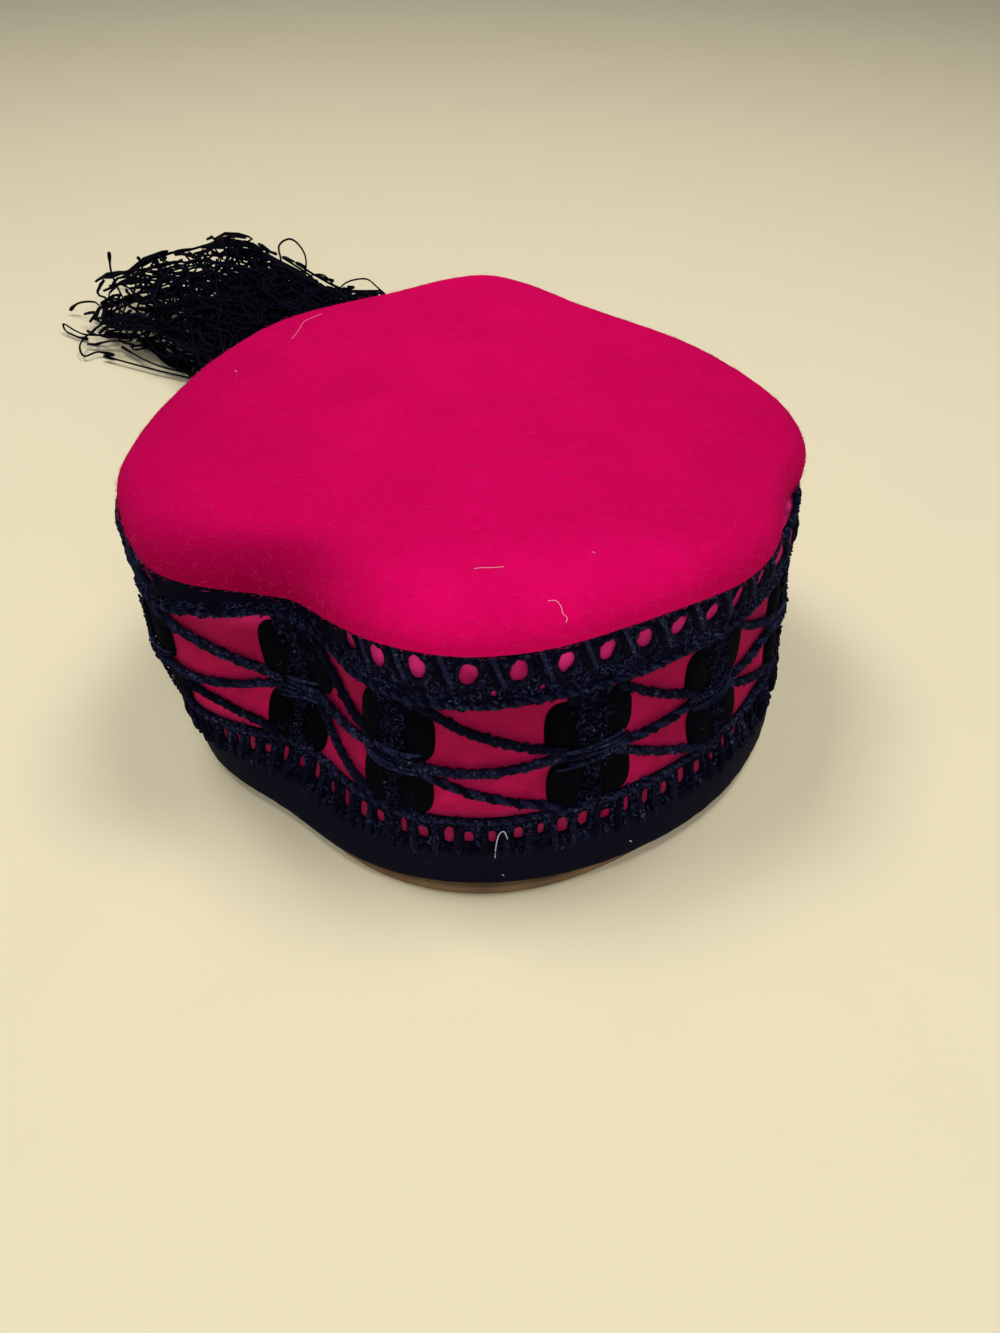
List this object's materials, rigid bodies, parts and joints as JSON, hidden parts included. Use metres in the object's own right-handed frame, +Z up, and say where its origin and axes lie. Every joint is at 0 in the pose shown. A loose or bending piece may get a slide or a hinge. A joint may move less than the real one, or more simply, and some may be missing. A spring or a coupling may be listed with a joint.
{
  "type": "felt folk cap with tassel",
  "caption": "Flat-topped felt folk cap with a pierced crochet band round its wall, a ribbon-bound rim, a leather sweatband and a long thread tassel.",
  "frame": {"origin": "centre of the head opening, on the surface that the cap rests on", "axes": "+Z up through the crown; -Y towards the front, where the dent is a little to the left; +X to the wearer's side that is on the right in the front view"},
  "size_m": [0.311, 0.4025, 0.094],
  "materials": {
    "magenta_felt": "matte wool felt with a short nap",
    "raspberry_cloth": "matte cloth",
    "navy_crochet": "matte twisted yarn",
    "navy_ribbon": "smooth ribbon with a soft sheen",
    "tan_leather": "smooth leather with a low sheen",
    "black_thread": "soft twisted thread"
  },
  "bodies": {
    "root": {"crown_felt": "magenta_felt", "side_wall": "raspberry_cloth", "lace_band": "navy_crochet", "rim_binding": "navy_ribbon", "sweatband": "tan_leather", "tassel": "black_thread"}
  },
  "joints": []
}
